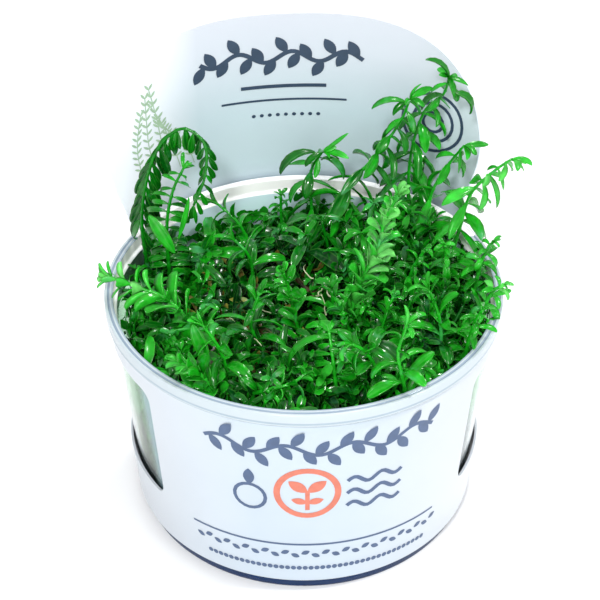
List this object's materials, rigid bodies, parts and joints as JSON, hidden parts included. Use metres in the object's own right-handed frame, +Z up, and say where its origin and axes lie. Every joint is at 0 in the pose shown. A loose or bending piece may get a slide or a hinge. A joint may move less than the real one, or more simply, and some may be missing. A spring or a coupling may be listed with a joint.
{
  "type": "aquarium stem plant in a culture cup",
  "caption": "Rotala stems with small paired leaves growing out of a clear round culture cup, wrapped in a card sleeve whose tall rounded back stands behind the plants.",
  "frame": {"origin": "middle of the cup's flat underside, on the surface that it stands on", "axes": "+Z up along the cup's axis, +Y from the open front towards the tall back card, +X to the right as seen from the front"},
  "size_m": [0.1045, 0.1066, 0.111],
  "materials": {
    "clear_plastic": "clear, smooth",
    "sleeve_card": "smooth coated card",
    "gel": "clear, wet",
    "dense_leaf": "glossy dark green leaves",
    "shoot_leaf": "glossy fresh green leaves"
  },
  "bodies": {
    "root": {"cup": "clear_plastic", "sleeve": "sleeve_card", "nutrient_gel": "gel", "dense_growth": "dense_leaf", "shoot_left_arch": "shoot_leaf", "shoot_left_upright": "shoot_leaf", "shoot_left_rim": "shoot_leaf", "shoot_front_left_bud": "shoot_leaf", "shoot_front_left_leaf": "shoot_leaf", "shoot_front_lying": "shoot_leaf", "shoot_front_curled": "shoot_leaf", "shoot_front_fork": "shoot_leaf", "shoot_front_side_branch": "shoot_leaf", "shoot_bright_upright": "shoot_leaf", "shoot_back_centre": "shoot_leaf", "shoot_long_arching": "shoot_leaf", "shoot_topmost": "shoot_leaf", "shoot_right_tall": "shoot_leaf", "shoot_far_right": "shoot_leaf", "shoot_right_inner": "shoot_leaf", "shoot_right_rim": "shoot_leaf", "shoot_right_over_rim": "shoot_leaf", "shoot_right_front": "shoot_leaf", "shoot_centre_bud": "shoot_leaf", "shoot_centre_left": "shoot_leaf", "shoot_back_left": "shoot_leaf", "shoot_back_small": "shoot_leaf", "shoot_centre_star": "shoot_leaf", "shoot_centre_right": "shoot_leaf", "shoot_front_right": "shoot_leaf", "shoot_centre_thin": "shoot_leaf"}
  },
  "joints": []
}
